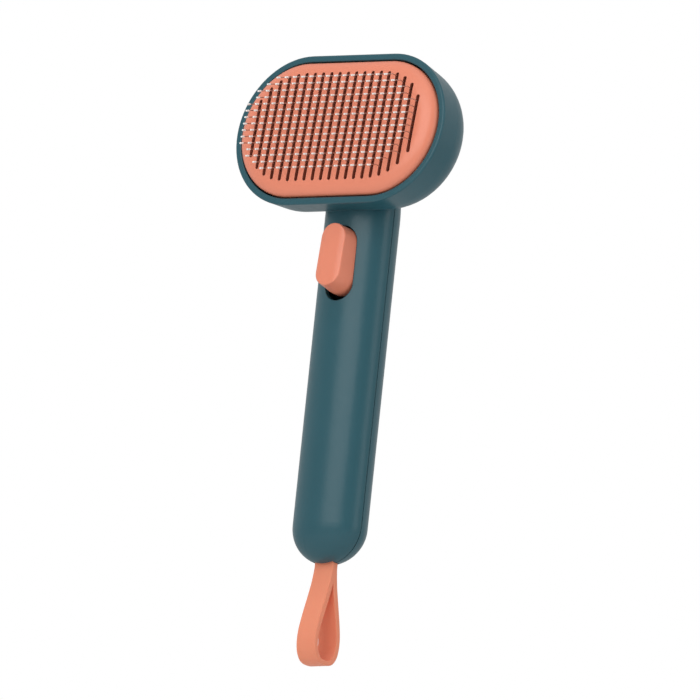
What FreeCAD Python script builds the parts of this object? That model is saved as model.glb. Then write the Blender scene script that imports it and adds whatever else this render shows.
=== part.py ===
import FreeCAD, Part
import math
import os

from FreeCAD import Matrix, Placement, Rotation
from FreeCAD import Vector as V

# Self-cleaning slicker brush: a tilted oval head with bent wire pins, a slotted face plate
# that a trigger in the handle pushes out over them, and a hanging loop. Millimetres.
# Design frame: +X across the head, +Y towards the back of the brush, +Z up along the
# handle, zero at the middle of the head's front rim plane.
# Head frame: +X across, +Y up the head, +Z out of the face, same zero.
# Every outline of the head is a stadium, given by its distance from a spine along X.

os.makedirs("parts", exist_ok=True)

# Moves the design frame's zero to the middle of the bounding box's bottom
ORIGIN_SHIFT = V(0, -9.394, 206.5)

# ---- head bowl (head frame) ----
TILT = 7.3             # degrees the head leans back
SPINE_X = 19.5         # centres of the stadium's end arcs
RIM_R = 30.3           # draft wall's radius at RIM_WALL_Z
RIM_WALL_Z = -0.7
RIM_IN = 27.65         # inner radius
RIM_LIP = 0.8          # rounding of the rim's outer edge
CAVITY_LIP = 0.45      # rounding of the rim's inner edge
BACK_FILLET = 16.7
SIDE_R = 29.07         # where the draft wall meets the back rounding
SIDE_Z = -11.1
CAVITY_Z = -23.6       # floor of the bowl
CAVITY_FILLET = 14.3

# ---- face plate (head frame) ----
PLATE_R = 27.0
PLATE_TOP = 3.65
PLATE_UNDER = 1.85
PLATE_ROLL = 7.0       # width of the rounded edge
PLATE_EDGE = -0.5      # where the rounded edge ends
SKIRT_R = 25.4         # inner radius of the skirt
SKIRT_END = -8.6
UNDER_ROLL = 5.6       # width of the rounding inside the skirt
UNDER_EDGE = -1.6
SLOT_W = 1.5
SLOT_LEN = [23.5, 33.2, 38.8, 42.0, 43.3] + [44.0] * 5   # from either end to the middle
POST_X = 41.4
POST_R = 1.4

# ---- pins and their plates (head frame) ----
COLUMN_COUNT = 20
COLUMN_PITCH = 4.0
ROW_PITCH = 2.63
ROW_TOP = 19.5
# first and last column of each row, top row first
ROW_COLUMNS = (
    [(4, 17), (3, 18), (2, 19), (2, 19)] + [(1, 20)] * 7
    + [(2, 19), (2, 19), (3, 18), (4, 17)]
)
WIRE_R = 0.19
PIN_HOLE_R = 0.24
PIN_BEND_Z = PLATE_TOP + 2.3
PIN_BEND_R = 1.6
PIN_BEND_DEG = 20.0
PIN_TOP_Z = PLATE_TOP + 7.9
TIP_R = 0.36
TIP_LEN = 2.1
TIP_OVERLAP = 0.44     # depth of the bead's solid end
PIN_PLATE_R = 24.7
PIN_PLATE_FRONT = -2.2
PIN_PLATE_BACK = -4.2
BACKING_BACK = -5.6
PIN_HEAD_R = 0.42
PIN_HEAD_T = 0.4
PLATE_SCREW_X = 32.5
PLATE_SCREW_Y = 18.3
BUSH_R = 2.0

# ---- crossbar behind the pin plate (head frame) ----
BAR_FRONT = -14.2
BAR_BACK = -16.2
CUP_X = 26.0
CUP_BACK = -21.2
CUP_FLOOR = -20.0
DRIVE_Z = -19.4        # depth of the drive pin's axis
DRIVE_R = 1.3

# ---- handle ----
PART_Y = 19.4          # parting plane, the widest section
HALF_W = 15.7
DEPTH_FRONT = 10.9
DEPTH_REAR = 13.3
DOME_Z = -152.4        # the rounded bottom starts here
DOME_H = 14.85
WALL = 2.2
NECK_Z = -22.0
GROOVE_HALF_W = 0.2    # parting groove
GROOVE_DEPTH = 0.6
REAR_TOP_Z = -35.0     # the rear half runs into the spine here
# the spine's sections: height, half width, depth
SPINE_SECTIONS = [
    (-29.0, 15.68, 13.2), (-21.0, 15.2, 12.3), (-12.0, 13.9, 10.7),
    (-3.0, 11.4, 8.9), (5.0, 8.0, 7.4),
]
SCREW_Z = [-80.0, -113.0, -146.0]
SEAT_Y = 27.0          # seat of the housing screws' heads
HOUSING_SCREW_R = 1.1

# ---- trigger ----
PIVOT_Y, PIVOT_Z = 15.0, -39.0
PIVOT_R = 1.25
PIVOT_BUSH_R = 2.2
BUTTON_W = 13.0        # width where it enters the handle
DRAFT_SIDE = 0.106     # lean of sides, top and bottom, mm per mm of depth
DRAFT_TOP = 0.05
DRAFT_BOTTOM = 0.11
BUTTON_START_Z = -28.0     # head frame depths: back of the blank, start of the draft, front
BUTTON_BASE_Z = -15.8
BUTTON_FRONT_Z = -2.0
FACE_TOP = V(0, 2.9, -36.2)
FACE_BOTTOM = V(0, 0.6, -61.0)
FACE_FLAT = 2.4        # half width of the face's flat middle
FACE_ROLL_R = 9.0      # beside it the face rolls down to its long edges
FACE_REACH = 7.5       # half width of the tool that shapes the face
FACE_FILLET = 0.5
BUTTON_BACK_Y = 12.2
LEVER_PLATE_T = 2.0
LEVER_BACK_Y = BUTTON_BACK_Y + LEVER_PLATE_T
LEVER_SCREW_Z = -47.5
SPRING_Z = -57.5
SPRING_SEAT_Y = 28.0
BUTTON_POSTS_Z = (LEVER_SCREW_Z, SPRING_Z)
HOLE_W = 13.3
HOLE_TOP, HOLE_BOTTOM = -36.1, -65.6

# ---- hanging loop ----
LOOP_Z = -162.4        # axis of its pin
LOOP_PIN_R = 1.25
LOOP_BORE_R = 1.30
STRAP_W = 9.0
STRAP_T = 1.25         # wall round the pin
STRAP_Y = 0.6          # the loop hangs this far behind the pin's axis
EYE_ANGLE = math.radians(35)   # where the eye's arc ends, below the pin's axis
# half outlines: distance from the loop's middle plane, height
LOOP_OUTER = [
    (1.5, -167.4), (1.55, -168.7), (1.9, -171.2), (2.62, -175.0), (3.68, -179.0),
    (5.28, -184.5), (6.75, -190.0), (7.72, -195.0), (7.8, -198.6), (6.9, -202.6),
    (4.6, -205.5), (0.0, -206.5),
]
LOOP_INNER = [
    (0.0, -174.4), (0.45, -176.4), (1.55, -180.6), (2.95, -185.4), (4.45, -190.2),
    (5.45, -194.8), (5.65, -198.3), (4.95, -201.6), (3.2, -203.9), (0.0, -204.65),
]

SIDES = (1, -1)
X, Y, Z = V(1, 0, 0), V(0, 1, 0), V(0, 0, 1)
HEAD = Placement(V(0, 0, 0), Rotation(X, 90 - TILT))
# the head frame's Z and Y in the design frame
HEAD_OUT = V(0, -math.cos(math.radians(TILT)), math.sin(math.radians(TILT)))
HEAD_UP = V(0, math.sin(math.radians(TILT)), math.cos(math.radians(TILT)))
DRIVE_EYE = HEAD_OUT * DRIVE_Z

COLUMNS = [(i - (COLUMN_COUNT - 1) / 2) * COLUMN_PITCH for i in range(COLUMN_COUNT)]
PIN_SITES = [
    (COLUMNS[column - 1], ROW_TOP - row * ROW_PITCH)
    for row, (first, last) in enumerate(ROW_COLUMNS)
    for column in range(first, last + 1)
]
PLATE_SCREW_SITES = [
    (side * PLATE_SCREW_X, y) for side in SIDES for y in (PLATE_SCREW_Y, -PLATE_SCREW_Y)
]


# =====================================================================
# Helpers
# =====================================================================
def in_head(shape):
    """Copy of a head-frame shape, placed in the design frame."""
    shape = shape.copy()
    shape.Placement = HEAD.multiply(shape.Placement)
    return shape


def join(shapes):
    return shapes[0].multiFuse(shapes[1:]).removeSplitter()


def rod(radius, start, direction, length):
    return Part.makeCylinder(radius, length, start, direction)


def rod_x(radius, x0, x1, y, z):
    return rod(radius, V(x0, y, z), X, x1 - x0)


def box(x0, x1, y0, y1, z0, z1):
    return Part.makeBox(x1 - x0, y1 - y0, z1 - z0, V(x0, y0, z0))


def span(side, near, far):
    """Lower and upper x of a stretch on one side of the middle plane."""
    return sorted((side * near, side * far))


def lines(*points):
    """Edges joining successive (x, z) points of a profile."""
    return [
        Part.makeLine(V(a[0], 0, a[1]), V(b[0], 0, b[1]))
        for a, b in zip(points, points[1:])
    ]


def arc(start, middle, end):
    return Part.Arc(*[V(x, 0, z) for x, z in (start, middle, end)]).toShape()


def polar(centre, radius, degrees):
    angle = math.radians(degrees)
    return (centre[0] + radius * math.cos(angle), centre[1] + radius * math.sin(angle))


def quarter_ellipse(centre, radius_x, radius_z):
    """Spline from above the centre round to its +x side, through 13 points of the ellipse."""
    angles = [math.pi / 2 * i / 12 for i in range(13)]
    points = [
        V(centre[0] + radius_x * math.sin(t), 0, centre[1] + radius_z * math.cos(t))
        for t in angles
    ]
    curve = Part.BSplineCurve()
    curve.interpolate(Points=points, InitialTangent=X, FinalTangent=V(0, 0, -1))
    return curve.toShape()


def stadium(edges):
    """Solid whose section is a closed profile: x is the distance from the spine, z the depth."""
    face = Part.Face(Part.Wire(Part.sortEdges(edges)[0]))
    quadrants = []
    for side in SIDES:
        half = face.copy()
        half.rotate(V(0, 0, 0), Z, -90 * side)
        half.translate(V(side * SPINE_X, 0, 0))
        quadrants.append(half.revolve(V(side * SPINE_X, 0, 0), Z, 180))
    for angle in (90, -90):
        half = face.copy()
        half.rotate(V(0, 0, 0), Z, angle)
        half.translate(V(-SPINE_X, 0, 0))
        quadrants.append(half.extrude(V(2 * SPINE_X, 0, 0)))
    return join(quadrants)


def stadium_plate(radius, z0, z1):
    return stadium(lines((0, z0), (radius, z0), (radius, z1), (0, z1), (0, z0)))


def slot_wire(x, half_width, low, high, place):
    """Upright round-ended outline; place turns (across, up) into a point."""
    left, right = x - half_width, x + half_width
    low_end, high_end = low + half_width, high - half_width
    corners = [
        place(left, low_end), place(left, high_end), place(right, high_end), place(right, low_end)
    ]
    return Part.Wire([
        Part.makeLine(corners[0], corners[1]),
        Part.Arc(corners[1], place(x, high), corners[2]).toShape(),
        Part.makeLine(corners[2], corners[3]),
        Part.Arc(corners[3], place(x, low), corners[0]).toShape(),
    ])


def screw(head_r, head_t, shank_r, length, seat, direction):
    """Pan-head screw with a cross recess; direction points from the head to the shank's end."""
    direction = V(direction).normalize()
    head_top = seat - direction * head_t
    body = rod(head_r, head_top, direction, head_t)
    # guards the rounding of the head: without it the head stays square
    try:
        rim = [e for e in body.Edges if abs((e.CenterOfMass - head_top).Length) < 1e-6]
        body = body.makeFillet(min(head_t * 0.45, 0.6), rim)
    except Exception:
        pass
    tip = min(shank_r, 0.8)
    body = body.fuse(rod(shank_r, seat, direction, length - tip))
    tip_start = seat + direction * (length - tip)
    body = body.fuse(Part.makeCone(shank_r, shank_r * 0.25, tip, tip_start, direction))
    across = direction.cross(X if abs(direction.dot(X)) < 0.9 else Y).normalize()
    upright = direction.cross(across)
    arm, half = head_r * 0.55, head_r * 0.14
    for along, beside in ((across, upright), (upright, across)):
        corners = [
            seat - direction * (head_t + 0.1) + along * (i * arm) + beside * (j * half)
            for i, j in ((-1, -1), (1, -1), (1, 1), (-1, 1))
        ]
        recess = Part.Face(Part.makePolygon(corners + [corners[0]]))
        body = body.cut(recess.extrude(direction * (head_t * 0.55 + 0.1)))
    return body.removeSplitter()


def coil(radius, wire_r, start, direction, height, turns):
    """Compression spring: round wire on a helix, axis from start along direction."""
    pitch = (height - 2 * wire_r) / turns
    helix = Part.makeHelix(pitch, pitch * turns, radius)
    tangent = V(0, 1, pitch / (2 * math.pi * radius))
    section = Part.Wire([Part.makeCircle(wire_r, V(radius, 0, 0), tangent)])
    spring = Part.Wire(helix).makePipeShell([section], True, True)
    spring.translate(V(0, 0, wire_r))
    spring.Placement = Placement(V(start), Rotation(Z, V(direction))).multiply(spring.Placement)
    return spring


# =====================================================================
# Forms shared by the housings
# =====================================================================
def bowl_outside():
    """Outer form of the head: flat back, large rounding, draft wall, rounded lip."""
    wall_angle = math.degrees(math.atan2(SIDE_R - RIM_R, RIM_WALL_Z - SIDE_Z))
    normal_x, normal_z = polar((0, 0), 1, wall_angle)
    back_centre = (SIDE_R - BACK_FILLET * normal_x, SIDE_Z - BACK_FILLET * normal_z)
    back_z = back_centre[1] - BACK_FILLET
    # the lip is tangent to the draft wall and to the rim plane
    lip_x = RIM_R - (RIM_LIP + normal_z * (-RIM_WALL_Z - RIM_LIP)) / normal_x
    lip_centre = (lip_x, -RIM_LIP)
    lip_start = polar(lip_centre, RIM_LIP, wall_angle)
    return stadium([
        *lines((0, back_z), (back_centre[0], back_z)),
        arc(
            (back_centre[0], back_z),
            polar(back_centre, BACK_FILLET, (-90 + wall_angle) / 2),
            (SIDE_R, SIDE_Z),
        ),
        *lines((SIDE_R, SIDE_Z), lip_start),
        arc(lip_start, polar(lip_centre, RIM_LIP, (90 + wall_angle) / 2), (lip_x, 0)),
        *lines((lip_x, 0), (0, 0), (0, back_z)),
    ])


def bowl_cavity():
    """Inside of the bowl, carried 3 mm out past the rim."""
    centre = (RIM_IN - CAVITY_FILLET, CAVITY_Z + CAVITY_FILLET)
    mouth_r = RIM_IN + CAVITY_LIP
    return stadium([
        *lines((0, CAVITY_Z), (centre[0], CAVITY_Z)),
        arc((centre[0], CAVITY_Z), polar(centre, CAVITY_FILLET, -45), (RIM_IN, centre[1])),
        *lines((RIM_IN, centre[1]), (RIM_IN, -CAVITY_LIP)),
        arc((RIM_IN, -CAVITY_LIP), (RIM_IN + 0.13, -0.13), (mouth_r, 0)),
        *lines((mouth_r, 0), (mouth_r, 3), (0, 3), (0, CAVITY_Z)),
    ])


def half_handle(offset, top, front):
    """Half of the handle form, grown by offset: elliptical, straight from the dome up to top."""
    depth = (DEPTH_FRONT if front else DEPTH_REAR) + offset
    dome = DOME_H + offset
    height = (top - DOME_Z) / dome
    unit = Part.makeCylinder(1.0, height).fuse(Part.makeSphere(1.0)).removeSplitter()
    unit = unit.cut(Part.makeBox(4, 2, height + 6, V(-2, 0 if front else -2, -3)))
    return unit.transformGeometry(Matrix(
        HALF_W + offset, 0, 0, 0,
        0, depth, 0, PART_Y,
        0, 0, dome, DOME_Z,
        0, 0, 0, 1,
    ))


def parting_groove():
    """Shallow band round the outside of the handle at the parting plane."""
    outside = join([half_handle(1, -10.0, front) for front in (True, False)])
    inside = join([half_handle(-GROOVE_DEPTH, -9.0, front) for front in (True, False)])
    slab = box(-30, 30, PART_Y - GROOVE_HALF_W, PART_Y + GROOVE_HALF_W, -200, -20)
    return slab.common(outside).cut(inside)


def strap_room():
    """Room for the loop's eye, and the mouth the loop hangs out of."""
    room = box(-4.8, 4.8, PART_Y - 2.95, PART_Y + 2.95, -165.2, -158.5)
    mouth = box(-4.8, 4.8, PART_Y - 2.05, PART_Y + 3.2, -170.0, -164.9)
    return room.fuse(mouth).removeSplitter()


BOWL_FORM = in_head(bowl_outside())
FRONT_FORM = half_handle(0, NECK_Z, True)
REAR_FORM = half_handle(0, REAR_TOP_Z, False)
GROOVE = parting_groove()
STRAP_ROOM = strap_room()


# =====================================================================
# Housings
# =====================================================================
def front_housing():
    """Head bowl and front half of the handle in one moulding."""
    body = FRONT_FORM.fuse(BOWL_FORM)
    body = body.cut(half_handle(-WALL, -24.0, True).cut(BOWL_FORM))
    body = body.cut(in_head(bowl_cavity()))

    # pivot bosses, screw bosses, blocks beside the strap's eye
    bosses = []
    for side in SIDES:
        block = box(*span(side, 7.2, 14.5), 10.2, 17.5, PIVOT_Z - 4.2, PIVOT_Z + 4.2)
        bosses.append(block.common(FRONT_FORM))
    for z in SCREW_Z:
        bosses.append(rod(3.0, V(0, 9.5, z), Y, PART_Y - 9.5))
    for side in SIDES:
        block = box(*span(side, 5.0, 9.6), 9.0, PART_Y, -168.0, -157.0)
        bosses.append(block.common(FRONT_FORM))
    body = body.multiFuse(bosses)

    # pillars under the pin plate's screws, sunk into the bowl's wall
    foot = CAVITY_Z - 1.2
    pillars = [rod(2.6, V(x, y, foot), Z, BACKING_BACK - foot) for x, y in PLATE_SCREW_SITES]
    body = body.fuse(in_head(Part.Compound(pillars)).common(BOWL_FORM))

    cuts = []
    # pivot pin seats, open towards the parting plane
    for side in SIDES:
        x0, x1 = span(side, 7.0, 11.6)
        cuts.append(rod_x(PIVOT_R, x0, x1, PIVOT_Y, PIVOT_Z))
        cuts.append(box(x0, x1, PIVOT_Y, PART_Y + 1, PIVOT_Z - PIVOT_R, PIVOT_Z + PIVOT_R))
    cuts.append(rod_x(LOOP_PIN_R, -8.6, 8.6, PART_Y, LOOP_Z))
    cuts.append(STRAP_ROOM)
    for z in SCREW_Z:
        cuts.append(rod(HOUSING_SCREW_R, V(0, 12.0, z), Y, 10))
    for x, y in PLATE_SCREW_SITES:
        cuts.append(in_head(rod(0.95, V(x, y, BACKING_BACK - 9.0), Z, 10)))
    # opening for the lever's arm, from the handle into the head
    cuts.append(box(-4.2, 4.2, PIVOT_Y - 4.1, 21.6, -34.0, -14.0))
    hole = slot_wire(0, HOLE_W / 2, HOLE_BOTTOM, HOLE_TOP, lambda x, z: V(x, 5, z))
    cuts.append(Part.Face(hole).extrude(V(0, 7.6, 0)))
    for tool in cuts:
        body = body.cut(tool)
    return body.cut(GROOVE)


def spine():
    """Lofted continuation of the rear half, up onto the head's back."""
    top_faces = [f for f in REAR_FORM.Faces if abs(f.CenterOfMass.z - REAR_TOP_Z) < 1e-6]
    top_wire = top_faces[0].OuterWire
    wires = [top_wire]
    for z, half_width, depth in SPINE_SECTIONS:
        scale = depth / DEPTH_REAR
        wires.append(top_wire.transformGeometry(Matrix(
            half_width / HALF_W, 0, 0, 0,
            0, scale, 0, PART_Y * (1 - scale),
            0, 0, 1, z - REAR_TOP_Z,
            0, 0, 0, 1,
        )))
    return Part.makeLoft(wires, True, False)


def rear_housing():
    """Back half of the handle and the spine on the head."""
    body = REAR_FORM.fuse([spine()], 1e-4).removeSplitter()
    body = body.cut(half_handle(-WALL, -27.0, False))
    body = body.cut(BOWL_FORM)

    # screw posts, spring seat with its stud
    bosses = [rod(4.0, V(0, PART_Y, z), Y, 12.6) for z in SCREW_Z]
    bosses.append(rod(3.6, V(0, SPRING_SEAT_Y, SPRING_Z), Y, 4.0))
    bosses.append(rod(1.4, V(0, 25.8, SPRING_Z), Y, 4.0))
    # ribs that close the pivot pin's seats, blocks beside the strap's eye
    rib_room = join([REAR_FORM, box(-20, 20, 0, PART_Y + 0.1, -60, -20)])
    for side in SIDES:
        rib_y = PIVOT_Y + PIVOT_R
        rib = box(*span(side, 8.0, 10.4), rib_y, 31.0, PIVOT_Z - 1.15, PIVOT_Z + 1.15)
        bosses.append(rib.common(rib_room))
        block = box(*span(side, 5.0, 9.6), PART_Y, 31.0, -168.0, -157.0)
        bosses.append(block.common(REAR_FORM))
    body = body.multiFuse(bosses)

    body = body.cut(rod_x(LOOP_PIN_R, -8.6, 8.6, PART_Y, LOOP_Z))
    body = body.cut(STRAP_ROOM)
    for z in SCREW_Z:
        body = body.cut(rod(1.5, V(0, PART_Y - 1, z), Y, 12))
        body = body.cut(rod(2.9, V(0, SEAT_Y, z), Y, 10))
    return body.cut(GROOVE)


def housing_screws():
    return [screw(2.6, 1.7, HOUSING_SCREW_R, 13.2, V(0, SEAT_Y, z), -Y) for z in SCREW_Z]


def screw_plugs():
    """Plugs over the screw heads, flush with the handle's back."""
    return [rod(2.86, V(0, SEAT_Y + 1.9, z), Y, 8).common(REAR_FORM) for z in SCREW_Z]


# =====================================================================
# Pins, pin plate, backing (head frame)
# =====================================================================
# right half of the pocket for the pin heads: x, y from bottom to top
POCKET_HALF = [
    (26.6, -18.6), (31.0, -16.2), (35.0, -13.9), (38.9, -8.6),
    (38.9, 10.4), (35.0, 15.6), (30.9, 17.7), (26.6, 20.5),
]


def mounting_holes():
    """Bush and screw holes through pin plate and backing."""
    holes = [rod(BUSH_R, V(side * POST_X, 0, -7), Z, 6) for side in SIDES]
    holes += [rod(1.15, V(x, y, -7), Z, 6) for x, y in PLATE_SCREW_SITES]
    return Part.Compound(holes)


def pin_plate():
    plate = stadium_plate(PIN_PLATE_R, PIN_PLATE_BACK, PIN_PLATE_FRONT).cut(mounting_holes())
    # the back face with the pin holes added as inner circles, extruded
    back = [
        f for f in plate.Faces
        if abs(f.CenterOfMass.z - PIN_PLATE_BACK) < 1e-6 and abs(f.normalAt(0, 0).z) > 0.99
    ][0]
    outer = back.OuterWire
    inner = [w for w in back.Wires if not w.isSame(outer)]
    for x, y in PIN_SITES:
        inner.append(Part.Wire([Part.makeCircle(PIN_HOLE_R, V(x, y, PIN_PLATE_BACK))]))
    return Part.Face([outer] + inner).extrude(V(0, 0, PIN_PLATE_FRONT - PIN_PLATE_BACK))


def pin_backing():
    outline = POCKET_HALF + [(-x, y) for x, y in reversed(POCKET_HALF)]
    points = [V(x, y, PIN_PLATE_BACK) for x, y in outline + outline[:1]]
    pocket = Part.Face(Part.makePolygon(points)).extrude(V(0, 0, -(PIN_HEAD_T + 0.05)))
    backing = stadium_plate(PIN_PLATE_R, BACKING_BACK, PIN_PLATE_BACK)
    return backing.cut(pocket).cut(mounting_holes())


BEND = math.radians(PIN_BEND_DEG)
BEND_END = V(
    0, -PIN_BEND_R * (1 - math.cos(BEND)), PIN_BEND_Z + PIN_BEND_R * math.sin(BEND)
)
PIN_DIRECTION = V(0, -math.sin(BEND), math.cos(BEND))
PIN_REACH = (PIN_TOP_Z - BEND_END.z) / math.cos(BEND)   # from the bend's end to the top


def pin():
    """One wire pin at the middle: headed, straight, then bent down towards the handle."""
    bend_start = V(0, 0, PIN_BEND_Z)
    section = Part.Face(Part.Wire([Part.makeCircle(WIRE_R, bend_start)]))
    return join([
        rod(WIRE_R, V(0, 0, PIN_PLATE_BACK), Z, PIN_BEND_Z - PIN_PLATE_BACK),
        section.revolve(V(0, -PIN_BEND_R, PIN_BEND_Z), X, PIN_BEND_DEG),
        rod(WIRE_R, BEND_END, PIN_DIRECTION, PIN_REACH - 0.45),
        rod(PIN_HEAD_R, V(0, 0, PIN_PLATE_BACK - PIN_HEAD_T), Z, PIN_HEAD_T),
    ])


def pin_tip():
    """Resin bead over the end of the wire."""
    dome_z = TIP_LEN - TIP_R
    bore_z = TIP_LEN - TIP_OVERLAP
    foot_r = TIP_R * 0.72
    profile = [
        *lines((WIRE_R, 0), (foot_r, 0)),
        arc((foot_r, 0), (TIP_R * 0.94, 0.12), (TIP_R, 0.36)),
        *lines((TIP_R, 0.36), (TIP_R, dome_z)),
        arc((TIP_R, dome_z), polar((0, dome_z), TIP_R, 45), (0, TIP_LEN)),
        *lines((0, TIP_LEN), (0, bore_z), (WIRE_R, bore_z), (WIRE_R, 0)),
    ]
    tip = Part.Face(Part.Wire(profile)).revolve(V(0, 0, 0), Z, 360)
    start = BEND_END + PIN_DIRECTION * (PIN_REACH - TIP_LEN)
    tip.Placement = Placement(start, Rotation(Z, PIN_DIRECTION))
    return tip


def at_pin_sites(shape):
    copies = []
    for x, y in PIN_SITES:
        placed = shape.copy()
        placed.translate(V(x, y, 0))
        copies.append(placed)
    return copies


def pin_plate_screws():
    return [
        screw(1.9, 1.25, 0.95, 10.5, V(x, y, PIN_PLATE_FRONT), -Z) for x, y in PLATE_SCREW_SITES
    ]


def guide_bushes():
    """Flanged bushes the face plate's posts slide in."""
    bushes = []
    for x in (POST_X, -POST_X):
        tube = rod(BUSH_R, V(x, 0, BACKING_BACK), Z, PIN_PLATE_FRONT - BACKING_BACK)
        bush = tube.fuse(rod(2.6, V(x, 0, PIN_PLATE_FRONT), Z, 0.7))
        bush = bush.cut(rod(POST_R + 0.05, V(x, 0, -8), Z, 10))
        bushes.append(bush.removeSplitter())
    return bushes


# =====================================================================
# Face plate and crossbar (head frame)
# =====================================================================
def face_plate():
    """Slotted plate with a skirt, and two posts back to the crossbar."""
    flat_r = PLATE_R - PLATE_ROLL
    under_r = SKIRT_R - UNDER_ROLL
    plate = stadium([
        *lines((0, PLATE_TOP), (flat_r, PLATE_TOP)),
        quarter_ellipse((flat_r, PLATE_EDGE), PLATE_ROLL, PLATE_TOP - PLATE_EDGE),
        *lines(
            (PLATE_R, PLATE_EDGE), (PLATE_R, SKIRT_END),
            (SKIRT_R, SKIRT_END), (SKIRT_R, UNDER_EDGE),
        ),
        quarter_ellipse((under_r, UNDER_EDGE), UNDER_ROLL, PLATE_UNDER - UNDER_EDGE),
        *lines((under_r, PLATE_UNDER), (0, PLATE_UNDER), (0, PLATE_TOP)),
    ])
    slot_back, slot_front = PLATE_UNDER - 3, PLATE_TOP + 1
    slots = []
    for i, x in enumerate(COLUMNS):
        half = SLOT_LEN[min(i, COLUMN_COUNT - 1 - i)] / 2
        wire = slot_wire(x, SLOT_W / 2, -half, half, lambda x, y: V(x, y, slot_back))
        slots.append(Part.Face(wire).extrude(V(0, 0, slot_front - slot_back)))
    plate = plate.cut(Part.Compound(slots))
    posts = [rod(POST_R, V(side * POST_X, 0, BAR_FRONT), Z, 2.0 - BAR_FRONT) for side in SIDES]
    plate = plate.multiFuse(posts)
    for side in SIDES:
        plate = plate.cut(rod(0.7, V(side * POST_X, 0, BAR_FRONT - 1), Z, 7))
    return plate


def crossbar():
    """Bar joining the posts, with two spring cups and two lugs for the drive pin."""
    blanks = [box(-POST_X, POST_X, -4.0, 4.0, BAR_BACK, BAR_FRONT)]
    for side in SIDES:
        blanks.append(rod(3.3, V(side * POST_X, 0, BAR_BACK), Z, BAR_FRONT - BAR_BACK))
        blanks.append(rod(4.2, V(side * CUP_X, 0, CUP_BACK), Z, BAR_FRONT - CUP_BACK))
        blanks.append(box(*span(side, 3.4, 5.6), -3.4, 3.4, -22.4, BAR_BACK + 0.2))
    bar = join(blanks)
    for side in SIDES:
        bar = bar.cut(rod(3.2, V(side * CUP_X, 0, CUP_FLOOR), Z, 8))
        bar = bar.cut(rod(0.75, V(side * POST_X, 0, BAR_BACK - 1), Z, 4))
    # slotted eye for the drive pin, long up the head
    eye_r = DRIVE_R + 0.1
    low, high = -1.25, 0.35
    eye = rod_x(eye_r, -6.5, 6.5, high, DRIVE_Z).fuse(rod_x(eye_r, -6.5, 6.5, low, DRIVE_Z))
    eye = eye.fuse(box(-6.5, 6.5, low, high, DRIVE_Z - eye_r, DRIVE_Z + eye_r))
    bar = bar.cut(eye)
    # the ends follow the head's outline
    return bar.common(stadium_plate(24.75, BAR_BACK - 8, BAR_FRONT + 1))


def crossbar_screws():
    return [screw(1.55, 1.0, 0.7, 7.4, V(side * POST_X, 0, BAR_BACK), Z) for side in SIDES]


def return_springs():
    height = BACKING_BACK - CUP_FLOOR
    return [coil(2.4, 0.32, V(side * CUP_X, 0, CUP_FLOOR), Z, height, 6) for side in SIDES]


def bump_stops():
    """Discs between the bowl's floor and the spring cups."""
    return [rod(3.6, V(side * CUP_X, 0, CAVITY_Z), Z, CUP_BACK - CAVITY_Z) for side in SIDES]


# =====================================================================
# Trigger
# =====================================================================
FACE_LINE = FACE_BOTTOM - FACE_TOP
FACE_NORMAL = V(0, FACE_LINE.z, -FACE_LINE.y).normalize()
FACE_Z = (FACE_TOP.dot(HEAD_OUT) + FACE_BOTTOM.dot(HEAD_OUT)) / 2   # mean head-frame depth


def button_outline(inset, z):
    """Button outline at a head-frame depth, leaning in towards the face."""
    rise = max(0.0, z - BUTTON_BASE_Z)
    below_face = FACE_Z - BUTTON_BASE_Z - rise
    half_width = BUTTON_W / 2 - inset - DRAFT_SIDE * rise
    high = FACE_TOP.dot(HEAD_UP) + DRAFT_TOP * below_face - inset
    low = FACE_BOTTOM.dot(HEAD_UP) - DRAFT_BOTTOM * below_face + inset
    return slot_wire(0, half_width, low, high, lambda x, y: V(x, y, z))


def button_prism(inset):
    """Button blank: straight at the back, drafted in front."""
    back = Part.Face(button_outline(inset, BUTTON_START_Z))
    back = back.extrude(V(0, 0, BUTTON_BASE_Z - BUTTON_START_Z))
    ends = [button_outline(inset, z) for z in (BUTTON_BASE_Z, BUTTON_FRONT_Z)]
    return in_head(back.fuse(Part.makeLoft(ends, True, True)).removeSplitter())


def face_height(x):
    """Height of the button face against its flat middle, zero or less."""
    beyond = max(0.0, abs(x) - FACE_FLAT)
    return math.sqrt(FACE_ROLL_R**2 - beyond * beyond) - FACE_ROLL_R


def face_cutter():
    """Everything in front of the button's face."""
    middle = (FACE_FLAT + FACE_REACH) / 2
    left, right = [
        [(side * x, face_height(x)) for x in (FACE_FLAT, middle, FACE_REACH)]
        for side in (-1, 1)
    ]
    profile = [
        arc(*reversed(left)),
        *lines(left[0], right[0]),
        arc(*right),
        *lines(right[2], (FACE_REACH, 30), (-FACE_REACH, 30), left[2]),
    ]
    cutter = Part.Face(Part.Wire(profile)).extrude(V(0, 80, 0))
    cutter.translate(V(0, -40, 0))
    tilt = Rotation(X, math.degrees(math.atan2(-FACE_NORMAL.y, FACE_NORMAL.z)))
    cutter.Placement = Placement(FACE_TOP, tilt).multiply(cutter.Placement)
    return cutter


def on_face_rim(edge):
    """True for an edge that runs round the button face, not for the seams of its flat middle."""
    length = edge.LastParameter - edge.FirstParameter
    points = [edge.valueAt(edge.FirstParameter + length * k / 4.0) for k in range(5)]
    on_face = all(
        abs((p - FACE_TOP).dot(FACE_NORMAL) - face_height(p.x)) < 1e-3 for p in points
    )
    seam = all(abs(abs(p.x) - FACE_FLAT) < 1e-3 for p in points)
    return on_face and not seam


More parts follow.
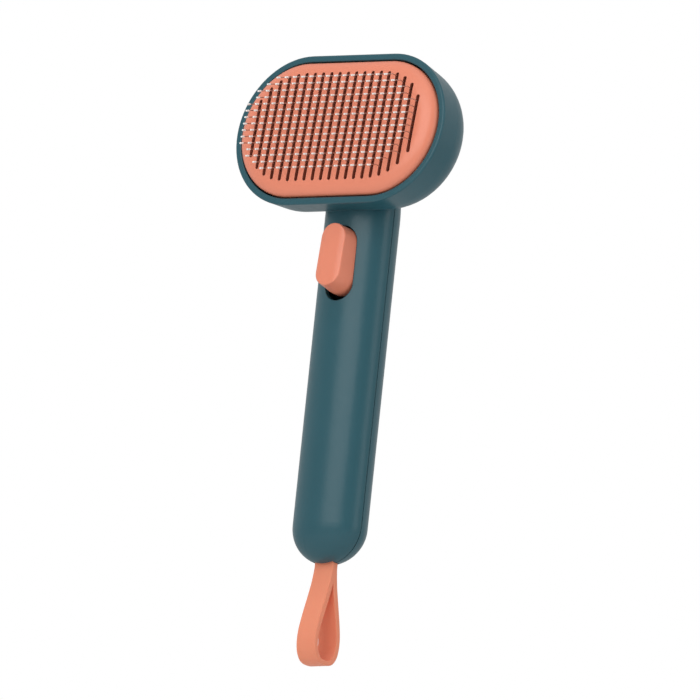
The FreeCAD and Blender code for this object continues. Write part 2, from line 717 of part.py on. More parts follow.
def trigger_button():
    """Hollow push button with two posts inside."""
    cutter = face_cutter()
    button = button_prism(0).cut(cutter)
    button = button.cut(box(-20, 20, BUTTON_BACK_Y, 60, -90, 0))
    # guards the rounding of the face: the sharp button stays if it fails or is invalid
    try:
        rounded = button.makeFillet(FACE_FILLET, [e for e in button.Edges if on_face_rim(e)])
        button = rounded if rounded.isValid() else button
    except Exception:
        pass
    inner_cutter = cutter.copy()
    inner_cutter.translate(FACE_NORMAL * -2.0)
    button = button.cut(button_prism(1.6).cut(inner_cutter))
    posts = Part.Compound([
        rod(2.0, V(0, -0.5, z), Y, BUTTON_BACK_Y + 0.5) for z in BUTTON_POSTS_Z
    ])
    post_room = button_prism(1.0).cut(cutter)
    button = button.fuse(posts.common(post_room)).removeSplitter()
    for z in BUTTON_POSTS_Z:
        button = button.cut(rod(0.8, V(0, BUTTON_BACK_Y - 6.5, z), Y, 8))
    # clearance round the lever's barrel
    return button.cut(rod_x(3.5, -8, 8, PIVOT_Y, PIVOT_Z))


def trigger_lever():
    """Barrel on the pivot, plate behind the button, arm up into the head."""
    reach = DRIVE_EYE - V(0, PIVOT_Y, PIVOT_Z)
    arm = Part.makeBox(6.0, 4.2, reach.Length, V(-3.0, -2.1, 0))
    lean = Rotation(X, -math.degrees(math.atan2(reach.y, reach.z)))
    arm.Placement = Placement(V(0, PIVOT_Y, PIVOT_Z), lean)
    corners = [
        V(-1.2, LEVER_BACK_Y, -45), V(-1.2, LEVER_BACK_Y, PIVOT_Z),
        V(-1.2, PIVOT_Y + 2.6, PIVOT_Z),
    ]
    rib = Part.Face(Part.makePolygon(corners + corners[:1])).extrude(V(2.4, 0, 0))
    lever = join([
        rod_x(3.0, -6.5, 6.5, PIVOT_Y, PIVOT_Z),
        box(-4.4, 4.4, BUTTON_BACK_Y, LEVER_BACK_Y, -61.0, PIVOT_Z),
        arm,
        rod_x(2.5, -3.0, 3.0, DRIVE_EYE.y, DRIVE_EYE.z),
        rib,
        rod(1.4, V(0, LEVER_BACK_Y, SPRING_Z), Y, 3.4),
    ])
    lever = lever.cut(rod_x(PIVOT_BUSH_R, -8, 8, PIVOT_Y, PIVOT_Z))
    lever = lever.cut(rod_x(DRIVE_R, -4, 4, DRIVE_EYE.y, DRIVE_EYE.z))
    return lever.cut(rod(0.85, V(0, BUTTON_BACK_Y - 1, LEVER_SCREW_Z), Y, 8))


def pivot_bush():
    bush = rod_x(PIVOT_BUSH_R, -6.9, 6.9, PIVOT_Y, PIVOT_Z)
    return bush.cut(rod_x(PIVOT_R + 0.03, -8, 8, PIVOT_Y, PIVOT_Z))


def trigger_spring():
    """Spring between the lever's plate and the rear housing."""
    start = V(0, LEVER_BACK_Y, SPRING_Z)
    return coil(2.3, 0.3, start, Y, SPRING_SEAT_Y - LEVER_BACK_Y, 6)


# =====================================================================
# Hanging loop
# =====================================================================
def loop_curve(points, side, start_slope):
    """One side of a loop outline, from the top down to the middle of the bottom."""
    curve = Part.BSplineCurve()
    curve.interpolate(
        Points=[V(0, PART_Y + STRAP_Y + side * y, z) for y, z in points],
        InitialTangent=V(0, side * start_slope, -1),
        FinalTangent=V(0, -side, 0),
    )
    return curve.toShape()


def hanging_loop():
    """Closed strap with an eye round the loop pin."""
    eye_r = LOOP_BORE_R + STRAP_T
    sine, cosine = math.sin(EYE_ANGLE), math.cos(EYE_ANGLE)
    arc_ends, necks = [], []
    for side in SIDES:
        start = V(0, PART_Y + side * eye_r * cosine, LOOP_Z - eye_r * sine)
        neck_y, neck_z = LOOP_OUTER[0]
        neck = Part.BSplineCurve()
        neck.interpolate(
            Points=[start, V(0, PART_Y + STRAP_Y + side * neck_y, neck_z)],
            InitialTangent=V(0, -side * sine, -cosine),
            FinalTangent=V(0, 0, -1),
        )
        arc_ends.append(start)
        necks.append(neck.toShape())
    eye_arc = Part.Arc(arc_ends[0], V(0, PART_Y, LOOP_Z + eye_r), arc_ends[1]).toShape()
    outer_rear, outer_front = [loop_curve(LOOP_OUTER, side, 0) for side in SIDES]
    outer_edges = [eye_arc, necks[0], outer_rear, necks[1], outer_front]
    inner_edges = [loop_curve(LOOP_INNER, side, 0.25) for side in SIDES]
    strap, opening = [
        Part.Face(Part.Wire(Part.sortEdges(edges)[0])).extrude(V(STRAP_W, 0, 0))
        for edges in (outer_edges, inner_edges)
    ]
    strap = strap.cut(opening)
    strap.translate(V(-STRAP_W / 2, 0, 0))
    return strap.cut(rod_x(LOOP_BORE_R, -8, 8, PART_Y, LOOP_Z))


# =====================================================================
# Export
# =====================================================================
def export(name, shapes):
    solids = [solid for shape in shapes for solid in shape.Solids]
    for solid in solids:
        solid.translate(ORIGIN_SHIFT)
    piece = solids[0] if len(solids) == 1 else Part.Compound(solids)
    piece.exportStep("parts/" + name + ".step")


HEAD_PIECES = {
    "pin_plate": [pin_plate()],
    "pin_backing": [pin_backing()],
    "pins": at_pin_sites(pin()),
    "pin_tips": at_pin_sites(pin_tip()),
    "pin_plate_screws": pin_plate_screws(),
    "guide_bushes": guide_bushes(),
    "bump_stops": bump_stops(),
    "face_plate": [face_plate()],
    "crossbar": [crossbar()],
    "crossbar_screws": crossbar_screws(),
    "return_springs": return_springs(),
}
HANDLE_PIECES = {
    "front_housing": [front_housing()],
    "rear_housing": [rear_housing()],
    "housing_screws": housing_screws(),
    "screw_plugs": screw_plugs(),
    "trigger_button": [trigger_button()],
    "trigger_lever": [trigger_lever()],
    "lever_screw": [screw(1.6, 1.0, 0.8, 7.0, V(0, LEVER_BACK_Y, LEVER_SCREW_Z), -Y)],
    "pivot_bush": [pivot_bush()],
    "pivot_pin": [rod_x(PIVOT_R - 0.01, -11.5, 11.5, PIVOT_Y, PIVOT_Z)],
    "drive_pin": [rod_x(DRIVE_R, -5.9, 5.9, DRIVE_EYE.y, DRIVE_EYE.z)],
    "trigger_spring": [trigger_spring()],
    "hanging_loop": [hanging_loop()],
    "loop_pin": [rod_x(LOOP_PIN_R - 0.01, -8.5, 8.5, PART_Y, LOOP_Z)],
}

for name, shapes in HEAD_PIECES.items():
    export(name, [in_head(shape) for shape in shapes])
for name, shapes in HANDLE_PIECES.items():
    export(name, shapes)
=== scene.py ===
"""Looks, strap, springs and studio for a hand-held brush head with retracting pins.

Metres, +Z up, +X across the head. The head faces -Y, leaning back a little, and the
strap hangs from a pin behind and below it. HEAD is the middle of the front rim plane.
"""
import math

import bmesh
import bpy
import numpy as np
from mathutils import Matrix, Vector

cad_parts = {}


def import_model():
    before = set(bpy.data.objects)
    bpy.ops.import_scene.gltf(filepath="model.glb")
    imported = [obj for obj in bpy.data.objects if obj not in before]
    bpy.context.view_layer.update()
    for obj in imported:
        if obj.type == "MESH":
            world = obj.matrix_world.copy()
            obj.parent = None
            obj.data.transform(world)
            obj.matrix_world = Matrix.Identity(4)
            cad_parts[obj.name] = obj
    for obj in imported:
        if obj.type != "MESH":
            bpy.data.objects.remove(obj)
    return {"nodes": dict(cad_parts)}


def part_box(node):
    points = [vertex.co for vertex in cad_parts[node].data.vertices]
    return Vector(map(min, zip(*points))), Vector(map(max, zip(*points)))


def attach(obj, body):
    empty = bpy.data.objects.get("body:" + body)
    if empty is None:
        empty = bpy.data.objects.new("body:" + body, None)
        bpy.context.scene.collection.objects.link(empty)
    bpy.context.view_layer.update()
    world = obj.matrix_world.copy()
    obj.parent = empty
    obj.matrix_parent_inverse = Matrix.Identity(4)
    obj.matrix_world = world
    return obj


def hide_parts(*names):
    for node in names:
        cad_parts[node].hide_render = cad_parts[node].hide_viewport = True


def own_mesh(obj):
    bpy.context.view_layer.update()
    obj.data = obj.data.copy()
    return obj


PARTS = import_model()["nodes"]
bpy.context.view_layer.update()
MM = 0.001

# ---------------------------------------------------------------- head frame
TILT = math.radians(7.3)    # lean of the rim plane
ACROSS = Vector((1, 0, 0))
OUTWARD = Vector((0, -math.cos(TILT), math.sin(TILT)))    # normal of the rim plane
UPWARD = Vector((0, math.sin(TILT), math.cos(TILT)))      # up along the rim plane

# the loop pin from the middle of the rim, mm
PIN_BEHIND = 19.4
PIN_BELOW = 162.4
pin_low, pin_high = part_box("loop_pin")
PIN_AXIS = Vector((0, (pin_low.y + pin_high.y) / 2, (pin_low.z + pin_high.z) / 2))
HEAD = PIN_AXIS + Vector((0, -PIN_BEHIND * MM, PIN_BELOW * MM))


def head_point(across, outward):
    """Point in the head frame at rim mid-height, given in mm."""
    return HEAD + ACROSS * (across * MM) + OUTWARD * (outward * MM)


def add_object(name, data):
    obj = bpy.data.objects.new(name, data)
    bpy.context.scene.collection.objects.link(obj)
    return obj


def add_bmesh(name, bm):
    """Turns a bmesh into a linked object and frees it."""
    mesh = bpy.data.meshes.new(name)
    bm.to_mesh(mesh)
    bm.free()
    return add_object(name, mesh)


# ---------------------------------------------------------------- node helpers
NOISE_SPAN = (0.3, 0.7)      # most of a noise's values lie in here
NARROW_SPAN = (0.35, 0.65)   # the same, for a harder contrast


class Nodes:
    """Builds a shader tree. An input takes a number, a tuple or another node's output."""

    def __init__(self, tree):
        self.tree = tree
        tree.nodes.clear()

    def feed(self, socket, value):
        if isinstance(value, bpy.types.NodeSocket):
            self.tree.links.new(value, socket)
        elif socket.type == "RGBA":
            socket.default_value = (*value, 1.0)
        else:
            socket.default_value = value

    def add(self, kind, inputs=None, **settings):
        node = self.tree.nodes.new("ShaderNode" + kind)
        for key, value in settings.items():
            setattr(node, key, value)
        for key, value in (inputs or {}).items():
            self.feed(node.inputs[key], value)
        return node

    def remap(self, value, source, result):
        """Maps the range source onto the range result."""
        return self.add("MapRange", {
            "Value": value,
            "From Min": source[0], "From Max": source[1],
            "To Min": result[0], "To Max": result[1],
        }).outputs["Result"]

    def math(self, operation, *values):
        return self.add("Math", dict(enumerate(values)), operation=operation).outputs[0]

    def dot(self, first, second):
        node = self.add("VectorMath", {0: first, 1: second}, operation="DOT_PRODUCT")
        return node.outputs["Value"]


class Material(Nodes):
    """A Principled material in object coordinates; texture scales are per metre."""

    def __init__(self, name):
        self.material = bpy.data.materials.new(name)
        self.material.use_nodes = True
        super().__init__(self.material.node_tree)
        self.shader = self.add("BsdfPrincipled")
        self.add("OutputMaterial", {0: self.shader.outputs[0]})
        self.coordinates = self.add("TexCoord").outputs["Object"]

    def surface(self, inputs):
        for key, value in inputs.items():
            self.feed(self.shader.inputs[key], value)

    def noise(self, scale, detail=2.0, roughness=0.5, stretch=None):
        place = self.coordinates
        if stretch:
            place = self.add("Mapping", {"Vector": place, "Scale": stretch}).outputs[0]
        return self.add("TexNoise", {
            "Vector": place, "Scale": scale, "Detail": detail, "Roughness": roughness,
        }).outputs["Fac"]

    def cells(self, scale):
        inputs = {"Vector": self.coordinates, "Scale": scale}
        return self.add("TexVoronoi", inputs).outputs["Distance"]

    def mix(self, factor, first, second):
        inputs = {0: factor, 6: first, 7: second}    # 6 and 7 are the colour inputs
        return self.add("Mix", inputs, data_type="RGBA").outputs[2]

    def bump(self, height, distance, normal=None):
        inputs = {"Strength": 1.0, "Distance": distance, "Height": height}
        if normal is not None:
            inputs["Normal"] = normal
        return self.add("Bump", inputs).outputs[0]

    def bevel(self, radius):
        return self.add("Bevel", {"Radius": radius}, samples=6).outputs[0]

    def edge_mask(self, bevel_normal):
        """1 where the bevelled normal departs from the true one, 0 on flat faces."""
        true_normal = self.add("NewGeometry").outputs["Normal"]
        departure = self.math("SUBTRACT", 1.0, self.dot(bevel_normal, true_normal))
        return self.remap(departure, (0.002, 0.22), (0.0, 1.0))


# ---------------------------------------------------------------- materials
def moulded(name, colour, roughness, grain_scale=3200.0, grain_depth=1.2e-5, bevel=0.3e-3,
            subsurface=0.0, wear_and_highlight=0.12, specular=0.5, flow=0.03, shade=None):
    """Injection moulded plastic with spark-eroded grain and softly burnished edges, lighter
    partly from wear and partly from a painted edge highlight.

    flow is the broad colour variation, wear_and_highlight the lightening of edges (partly wear,
    partly a painted highlight),
    and shade a function that paints shade: it takes the material and its colour and returns a
    new colour.
    """
    mat = Material(name)
    broad = mat.noise(scale=38.0, detail=3.0, roughness=0.55)
    mottle = mat.noise(scale=420.0, detail=3.0, roughness=0.6)
    grain = mat.noise(scale=grain_scale, detail=3.0, roughness=0.65)
    pits = mat.cells(scale=grain_scale * 0.55)
    base = Vector(colour)

    tone = mat.mix(mat.remap(broad, NOISE_SPAN, (0.0, 1.0)),
                   tuple(base * (1 - flow)), tuple(base * (1 + flow)))
    tone = mat.mix(mat.remap(grain, NARROW_SPAN, (0.0, 0.10)), tone, tuple(base * 0.82))
    gloss = mat.remap(mottle, NOISE_SPAN, (roughness - 0.03, roughness + 0.03))
    gloss = mat.math("ADD", gloss, mat.remap(grain, NOISE_SPAN, (-0.03, 0.03)))
    gloss = mat.math("ADD", gloss, mat.remap(broad, NOISE_SPAN, (-0.015, 0.015)))

    # rubbed edges are lighter and smoother; the lightening is partly wear and partly a painted
    # highlight along the edges
    rounded = None
    if bevel:
        rounded = mat.bevel(bevel)
        edge = mat.edge_mask(rounded)
        rub_and_highlight = mat.math("MULTIPLY", edge, mat.remap(mottle, NARROW_SPAN, (0.45, 1.0)))
        light = tuple(x + 0.10 * (1 - x) for x in base)
        tone = mat.mix(mat.math("MULTIPLY", rub_and_highlight, wear_and_highlight), tone, light)
        gloss = mat.math("SUBTRACT", gloss, mat.math("MULTIPLY", edge, 0.06))
    if shade:
        tone = shade(mat, tone)

    height = mat.math("ADD", mat.math("MULTIPLY", grain, 0.65),
                      mat.math("MULTIPLY", pits, 0.35))
    mat.surface({
        "Base Color": tone,
        "Roughness": gloss,
        "Normal": mat.bump(height, grain_depth, rounded),
        "Specular IOR Level": specular,
    })
    if subsurface:
        mat.surface({
            "Subsurface Weight": subsurface,
            "Subsurface Radius": (1.0, 0.35, 0.2),
            "Subsurface Scale": 0.0012,
        })
    return mat.material


def metal(name, colour, roughness, stretch=(1.0, 1.0, 1.0), line_scale=2600.0):
    """Drawn or turned steel; a small stretch value draws its lines out along that axis."""
    mat = Material(name)
    lines = mat.noise(scale=line_scale, detail=4.0, roughness=0.7, stretch=stretch)
    blotch = mat.noise(scale=140.0, detail=3.0, roughness=0.5)
    base = Vector(colour)
    mat.surface({
        "Base Color": mat.mix(mat.remap(blotch, NOISE_SPAN, (0.0, 1.0)),
                              tuple(base * 0.88), tuple(base)),
        "Metallic": 1.0,
        "Roughness": mat.math(
            "ADD",
            mat.remap(lines, NOISE_SPAN, (roughness - 0.06, roughness + 0.08)),
            mat.remap(blotch, NOISE_SPAN, (-0.02, 0.03))),
        "Normal": mat.bump(lines, distance=2.0e-6),
    })
    return mat.material


def resin(name, colour, roughness=0.28):
    """Dipped resin bead: smooth, slightly uneven, with a faint painted glow that makes it look
    brighter.
    """
    mat = Material(name)
    lumps = mat.noise(scale=1800.0)
    tint = mat.noise(scale=900.0)
    base = Vector(colour)
    mat.surface({
        "Base Color": mat.mix(mat.remap(tint, NOISE_SPAN, (0.0, 1.0)),
                              tuple(base * 0.96), tuple(base)),
        "Roughness": mat.remap(lumps, NOISE_SPAN, (roughness - 0.06, roughness + 0.08)),
        "Normal": mat.bump(lumps, distance=1.5e-5),
        # painted glow: the bead gives off a little light of its own
        "Emission Color": (1.0, 0.985, 0.955),
        "Emission Strength": 0.10,
    })
    return mat.material


# long openings of the face plate, mm: upright columns inside a stadium outline
SLOT_PITCH = 4.0
SLOT_HALF = 0.75
FIELD_CENTRE = 19.5    # the stadium's end centres, across from the middle
FIELD_RADIUS = 22.4
# colour of the painted shade on the slot walls
SLOT_PAINTED_SHADE = (0.40, 0.110, 0.066)


def paint_slot_shade(mat, colour):
    """Paints shade on the slot walls: faces in the slot columns that look sideways are
    darkened, the more the deeper they lie.
    """
    offset = mat.add("VectorMath", {0: mat.coordinates, 1: tuple(HEAD)},
                     operation="SUBTRACT").outputs[0]
    across = mat.add("SeparateXYZ", {0: offset}).outputs[0]
    upward = mat.dot(offset, tuple(UPWARD))
    outward = mat.dot(offset, tuple(OUTWARD))

    # distance from the nearest column's middle, in pitches
    pitches = mat.math("ADD", mat.math("DIVIDE", across, SLOT_PITCH * MM), 0.5)
    from_column = mat.math("PINGPONG", pitches, 0.5)
    edge = SLOT_HALF / SLOT_PITCH
    in_column = mat.remap(from_column, (edge + 0.004, edge + 0.012), (1.0, 0.0))

    beyond = mat.math("SUBTRACT", mat.math("ABSOLUTE", across), FIELD_CENTRE * MM)
    beyond = mat.math("MAXIMUM", beyond, 0.0)
    reach = mat.math("SQRT", mat.math("ADD", mat.math("MULTIPLY", beyond, beyond),
                                      mat.math("MULTIPLY", upward, upward)))
    in_field = mat.math("LESS_THAN", reach, FIELD_RADIUS * MM)

    normal = mat.add("NewGeometry").outputs["Normal"]
    sideways = mat.remap(mat.dot(normal, tuple(OUTWARD)), (0.35, 0.75), (1.0, 0.0))
    depth = mat.remap(outward, (3.60 * MM, 3.2 * MM), (0.75, 1.0))
    amount = mat.math("MULTIPLY", mat.math("MULTIPLY", in_column, in_field),
                      mat.math("MULTIPLY", sideways, depth))
    return mat.mix(amount, colour, SLOT_PAINTED_SHADE)


CORAL = (0.930, 0.290, 0.174)
teal = moulded("teal_plastic", (0.0205, 0.1030, 0.1330), roughness=0.33, wear_and_highlight=0.22)
coral = moulded("coral_plastic", CORAL, roughness=0.34, subsurface=0.06, wear_and_highlight=0.25,
                flow=0.02, specular=0.55)
# the face plate's slot walls carry painted shade
coral_plate = moulded("coral_face_plate", CORAL, roughness=0.34, wear_and_highlight=0.25,
                      flow=0.02, specular=0.55, shade=paint_slot_shade)
# painted shade: the coral darkened to under half and made duller, for the pin plate and backing
# seen down the slots
coral_inner = moulded("coral_inner", (0.42, 0.125, 0.08), roughness=0.5, bevel=0.0,
                      specular=0.25)
silicone = moulded("coral_silicone", (0.970, 0.325, 0.188), roughness=0.52,
                   grain_scale=2400.0, grain_depth=1.0e-5, bevel=0.25e-3,
                   subsurface=0.08, wear_and_highlight=0.18, flow=0.025, specular=0.35)
wire = metal("steel_wire", (0.66, 0.60, 0.57), roughness=0.30, stretch=(1.0, 0.08, 1.0))
beads = resin("white_resin", (0.96, 0.955, 0.935))
zinc = metal("zinc_screw", (0.62, 0.62, 0.64), roughness=0.32, line_scale=1800.0)
pin_steel = metal("steel_pin", (0.58, 0.58, 0.60), roughness=0.22, stretch=(0.04, 1.0, 1.0))
spring_steel = metal("spring_steel", (0.50, 0.50, 0.52), roughness=0.30, line_scale=3000.0)
acetal = moulded("white_acetal", (0.82, 0.81, 0.77), roughness=0.38, bevel=0.12e-3,
                 subsurface=0.08, wear_and_highlight=0.1)
nylon = moulded("black_nylon", (0.022, 0.022, 0.025), roughness=0.46, bevel=0.2e-3,
                wear_and_highlight=0.4)
grey = moulded("grey_silicone", (0.22, 0.23, 0.24), roughness=0.62, bevel=0.15e-3,
               wear_and_highlight=0.15)

PART_MATERIALS = {
    "front_housing": teal,
    "rear_housing": teal,
    "screw_plugs": teal,
    "housing_screws": zinc,
    "pin_plate_screws": zinc,
    "crossbar_screws": zinc,
    "lever_screw": zinc,
    "pin_plate": coral_inner,
    "pin_backing": coral_inner,
    "pins": wire,
    "pin_tips": beads,
    "guide_bushes": acetal,
    "bump_stops": grey,
    "face_plate": coral_plate,
    "crossbar": nylon,
    "return_springs": spring_steel,
    "trigger_spring": spring_steel,
    "trigger_button": coral,
    "trigger_lever": nylon,
    "pivot_bush": acetal,
    "pivot_pin": pin_steel,
    "drive_pin": pin_steel,
    "hanging_loop": silicone,
    "loop_pin": pin_steel,
}
for part_name, material in PART_MATERIALS.items():
    part = PARTS[part_name]
    if len(part.material_slots) == 0:
        part.data.materials.append(material)
    for slot in part.material_slots:
        slot.link = "OBJECT"
        slot.material = material


# ---------------------------------------------------------------- strap loop
# mm; y from the pin axis, z from the middle of the rim
BORE_RADIUS = 1.3
BORE_WALL = 1.25
STRAP_WIDTH = 9.0
STRAP_Y = 0.6                     # centre line of the strap below the pin
EYE_OVERLAP = math.radians(35)    # how far the round eye runs below the pin's level

# right halves from top to bottom: (y from the strap's centre line, z)
OUTER_HALF = [
    (1.5, -167.4), (1.55, -168.7), (1.9, -171.2), (2.62, -175.0),
    (3.68, -179.0), (5.28, -184.5), (6.75, -190.0), (7.72, -195.0),
    (7.8, -198.6), (6.9, -202.6), (4.6, -205.5), (0.0, -206.5),
]
OPENING_HALF = [
    (0.0, -174.4), (0.45, -176.4), (1.55, -180.6), (2.95, -185.4), (4.45, -190.2),
    (5.45, -194.8), (5.65, -198.3), (4.95, -201.6), (3.2, -203.9), (0.0, -204.65),
]


def smooth_path(stations, start_direction, end_direction, steps):
    """Cubic Hermite curve through the stations, with steps points per span."""
    points = [np.array(p, float) for p in stations]
    spans = [np.linalg.norm(b - a) for a, b in zip(points, points[1:])]
    tangents = [np.array(start_direction, float)]
    for i in range(1, len(points) - 1):
        tangents.append((points[i] - points[i - 1]) / spans[i - 1] * spans[i]
                        + (points[i + 1] - points[i]) / spans[i] * spans[i - 1])
    tangents.append(np.array(end_direction, float))
    tangents = [v / np.linalg.norm(v) for v in tangents]
    path = []
    for i, span in enumerate(spans):
        for k in range(steps):
            t = k / steps
            path.append((2 * t**3 - 3 * t**2 + 1) * points[i]
                        + (t**3 - 2 * t**2 + t) * tangents[i] * span
                        + (-2 * t**3 + 3 * t**2) * points[i + 1]
                        + (t**3 - t**2) * tangents[i + 1] * span)
    path.append(points[-1])
    return [tuple(p) for p in path]


def pin_circle(radius, angles):
    return [(radius * math.cos(a), -PIN_BELOW + radius * math.sin(a)) for a in angles]


def both_sides(half):
    """The half outline downwards at +y, then its mirror image upwards."""
    return ([(STRAP_Y + y, z) for y, z in half]
            + [(STRAP_Y - y, z) for y, z in half[-2::-1]])


def strap_outlines():
    """Closed (y, z) outlines: the outside, the teardrop opening and the pin's bore."""
    eye = pin_circle(BORE_RADIUS + BORE_WALL,
                     np.linspace(-EYE_OVERLAP, math.pi + EYE_OVERLAP, 43))
    lean, fall = math.sin(EYE_OVERLAP), -math.cos(EYE_OVERLAP)
    neck_y, neck_z = OUTER_HALF[0]
    right_leg = smooth_path([eye[0], (STRAP_Y + neck_y, neck_z)], (-lean, fall), (0, -1), 10)
    left_leg = smooth_path([eye[-1], (STRAP_Y - neck_y, neck_z)], (lean, fall), (0, -1), 10)
    body = both_sides(smooth_path(OUTER_HALF, (0, -1), (-1, 0), 7))
    outside = eye[:1] + right_leg[1:-1] + body + left_leg[-2:0:-1] + eye[:0:-1]
    # the opening's two halves share their top point
    opening = both_sides(smooth_path(OPENING_HALF, (0.25, -1), (-1, 0), 7))[:-1]
    bore = pin_circle(BORE_RADIUS, np.linspace(0, 2 * math.pi, 41)[:-1])
    return outside, opening, bore


def build_strap():
    """Silicone band: the outlines filled, extruded across and rounded at the edges."""
    bm = bmesh.new()
    edges = []
    for outline in strap_outlines():
        verts = [bm.verts.new((0.0, y * MM, z * MM)) for y, z in outline]
        edges += [bm.edges.new(pair) for pair in zip(verts, verts[1:] + verts[:1])]
    bmesh.ops.triangle_fill(bm, use_beauty=True, use_dissolve=False, edges=edges)
    bmesh.ops.translate(bm, verts=bm.verts, vec=(-STRAP_WIDTH / 2 * MM, 0, 0))
    extruded = bmesh.ops.extrude_face_region(bm, geom=bm.faces[:])["geom"]
    moved = [item for item in extruded if isinstance(item, bmesh.types.BMVert)]
    bmesh.ops.translate(bm, verts=moved, vec=(STRAP_WIDTH * MM, 0, 0))
    bmesh.ops.recalc_face_normals(bm, faces=bm.faces[:])

    strap = add_bmesh("strap_band", bm)
    strap.location = HEAD + Vector((0, PIN_BEHIND * MM, 0))
    for face in strap.data.polygons:
        face.use_smooth = True
    bevel = strap.modifiers.new("edge", "BEVEL")
    bevel.width = 0.42 * MM
    bevel.segments = 4
    bevel.limit_method = "ANGLE"
    bevel.angle_limit = math.radians(50)
    bevel.harden_normals = False
    normals = strap.modifiers.new("normals", "WEIGHTED_NORMAL")
    normals.keep_sharp = True
    strap.data.materials.append(silicone)
    return strap


strap_band = build_strap()
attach(strap_band, "strap")
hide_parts("hanging_loop")


# ---------------------------------------------------------------- springs
TURNS = 7              # the first and last turns are closed
STEPS_PER_TURN = 40
WIRE_SIDES = 12


def build_spring(name, base, direction, length, radius, wire_radius):
    """Compression spring: a tube round a helix that starts at base. Lengths in mm."""
    axis = direction.normalized()
    side = ACROSS.cross(axis) * -1
    end_rise = 2.05 * wire_radius * 0.5    # climb of a closed turn
    stations = (0, 1, TURNS - 1, TURNS)
    heights = (wire_radius, wire_radius + end_rise,
               length - wire_radius - end_rise, length - wire_radius)
    rings = TURNS * STEPS_PER_TURN
    verts = []
    for i in range(rings + 1):
        turn = TURNS * i / rings
        angle = 2 * math.pi * turn
        radial = ACROSS * math.cos(angle) + side * math.sin(angle)
        height = float(np.interp(turn, stations, heights))
        centre = base + radial * (radius * MM) + axis * (height * MM)
        for j in range(WIRE_SIDES):
            around = 2 * math.pi * j / WIRE_SIDES
            verts.append(centre + radial * (wire_radius * MM * math.cos(around))
                         + axis * (wire_radius * MM * math.sin(around)))
    faces = []
    for i in range(rings):
        for j in range(WIRE_SIDES):
            a = i * WIRE_SIDES + j
            b = i * WIRE_SIDES + (j + 1) % WIRE_SIDES
            faces.append((a, b, b + WIRE_SIDES, a + WIRE_SIDES))
    faces.append(tuple(range(WIRE_SIDES))[::-1])
    faces.append(tuple(rings * WIRE_SIDES + j for j in range(WIRE_SIDES)))

    mesh = bpy.data.meshes.new(name)
    mesh.from_pydata([tuple(v) for v in verts], [], faces)
    mesh.update()
    bm = bmesh.new()
    bm.from_mesh(mesh)
    bmesh.ops.recalc_face_normals(bm, faces=bm.faces[:])
    bm.to_mesh(mesh)
    bm.free()
    for face in mesh.polygons:
        face.use_smooth = len(face.vertices) == 4    # the wire's cut ends stay flat
    mesh.materials.append(spring_steel)
    return add_object(name, mesh)


def fit_spring(spring, replaced):
    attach(spring, "housing")
    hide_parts(replaced)


# return springs, one each side of the head, mm in the head frame
RETURN_ACROSS = 26.0
RETURN_BASE = -20.0

for sign, name in ((1, "return_spring_r"), (-1, "return_spring_l")):
    spring = build_spring(name, head_point(sign * RETURN_ACROSS, RETURN_BASE), OUTWARD,
                          length=14.35, radius=2.4, wire_radius=0.32)
    fit_spring(spring, "return_springs")
    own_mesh(spring)

# sits a little towards the pivot, so that the lever's peg stays inside the coils
TRIGGER_BASE = Vector((0, 14.2 * MM, -57.05 * MM))
spring = build_spring("trigger_return_spring", HEAD + TRIGGER_BASE, Vector((0, 1, 0)),
                      length=13.75, radius=2.35, wire_radius=0.3)
fit_spring(spring, "trigger_spring")
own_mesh(spring)


# ---------------------------------------------------------------- camera
def bearing(azimuth, elevation):
    """Unit vector; degrees, azimuth from -Y towards +X, elevation above the floor."""
    a, e = math.radians(azimuth), math.radians(elevation)
    return Vector((math.sin(a) * math.cos(e), -math.cos(a) * math.cos(e), math.sin(e)))


to_camera = bearing(azimuth=38.154, elevation=-10.175)
view_right = Vector((0.7935, 0.5998, 0.1029))    # sets the camera's roll
view_right = (view_right - to_camera * view_right.dot(to_camera)).normalized()
view_up = to_camera.cross(view_right).normalized()
view_target = HEAD + view_right * (3.935 * MM) - view_up * (85.0 * MM)

camera_data = bpy.data.cameras.new("camera")
camera_data.type = "ORTHO"
camera_data.ortho_scale = 0.2690
camera_data.clip_start = 0.01
camera_data.clip_end = 10.0
camera = add_object("camera", camera_data)
camera.matrix_world = Matrix((view_right, view_up, to_camera)).transposed().to_4x4()
camera.location = view_target + to_camera * 0.60
bpy.context.scene.camera = camera


# ---------------------------------------------------------------- floor and world
def floor_material():
    """Near white to the camera, while little light comes back up from it."""
    mat = Material("floor_pale")
    seen = mat.add("LightPath").outputs["Is Camera Ray"]
    mat.surface({
        "Base Color": (0.80, 0.80, 0.80),
        "Roughness": 0.9,
        "Specular IOR Level": 0.1,
        "Emission Color": (1, 1, 1),
        "Emission Strength": mat.remap(seen, (0.0, 1.0), (0.06, 0.52)),
    })
    return mat.material


floor_bm = bmesh.new()
bmesh.ops.create_circle(floor_bm, cap_ends=True, cap_tris=False, segments=96, radius=6.0)
floor = add_bmesh("floor", floor_bm)
floor.location = (0, 0, -0.16)
floor.data.materials.append(floor_material())

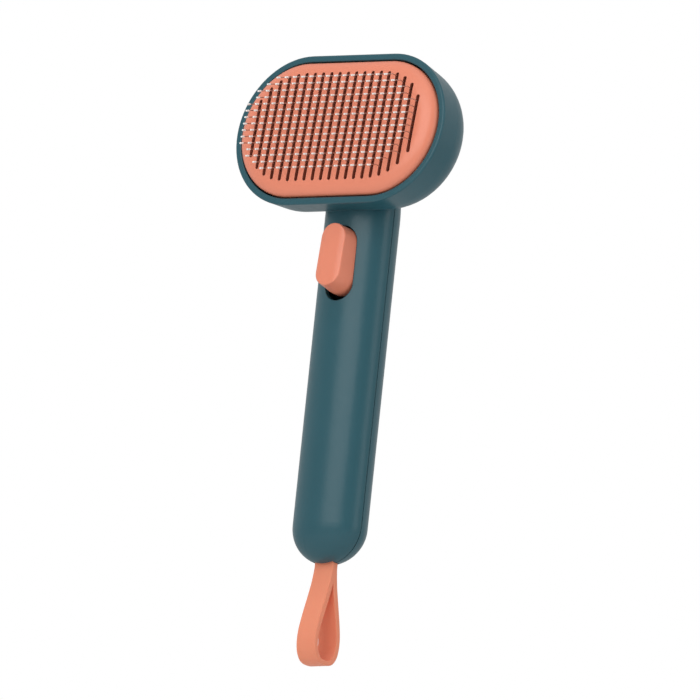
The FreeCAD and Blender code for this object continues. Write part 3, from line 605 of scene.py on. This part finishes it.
# (position, grey): 0 looks away from the camera's side, 1 looks towards it
WORLD_GREYS = [(0.0, 0.62), (0.33, 0.58), (0.46, 0.49), (0.56, 0.42), (0.80, 0.40), (1.0, 0.40)]


def build_world():
    """White to the camera; everything else is lit by a grey gradient."""
    world = bpy.data.worlds.new("studio")
    bpy.context.scene.world = world
    world.use_nodes = True
    nodes = Nodes(world.node_tree)
    direction = nodes.add("TexCoord").outputs["Generated"]
    facing = nodes.remap(nodes.dot(direction, tuple(to_camera)), (-1.0, 1.0), (0.0, 1.0))
    ramp = nodes.add("ValToRGB", {"Fac": facing})
    stops = ramp.color_ramp.elements
    for position, _ in WORLD_GREYS[1:-1]:
        stops.new(position)
    for stop, (_, level) in zip(stops, WORLD_GREYS):
        stop.color = (level, level, level, 1)
    lit = nodes.add("Background", {"Color": ramp.outputs["Color"], "Strength": 1.0})
    seen = nodes.add("Background", {"Color": (1, 1, 1), "Strength": 1.0})
    mix = nodes.add("MixShader", {
        0: nodes.add("LightPath").outputs["Is Camera Ray"],
        1: lit.outputs[0],
        2: seen.outputs[0],
    })
    nodes.add("OutputWorld", {0: mix.outputs[0]})


build_world()

# ---------------------------------------------------------------- lights
LIGHT_TARGET = HEAD + Vector((0, 15 * MM, -80 * MM))
LIGHT_DISTANCE = 0.9


def area_light(name, direction, width, height, energy):
    """Rectangular light that stands off in the given direction and faces the target."""
    light = bpy.data.lights.new(name, "AREA")
    light.shape = "RECTANGLE"
    light.size = width
    light.size_y = height
    light.energy = energy
    lamp = add_object(name, light)
    lamp.location = LIGHT_TARGET + direction * LIGHT_DISTANCE
    aim = (LIGHT_TARGET - lamp.location).normalized()
    lamp.rotation_euler = aim.to_track_quat("-Z", "Y").to_euler()


area_light("key", bearing(azimuth=7, elevation=24), width=0.80, height=0.75, energy=3.5)
area_light("right", bearing(azimuth=96, elevation=18), width=0.42, height=0.95, energy=1.1)
area_light("top", (view_up + to_camera * 0.25).normalized(),
           width=0.6, height=0.6, energy=0.7)

view = bpy.context.scene.view_settings
view.view_transform = "Standard"
view.look = "None"
view.exposure = 0.0
view.gamma = 1.0
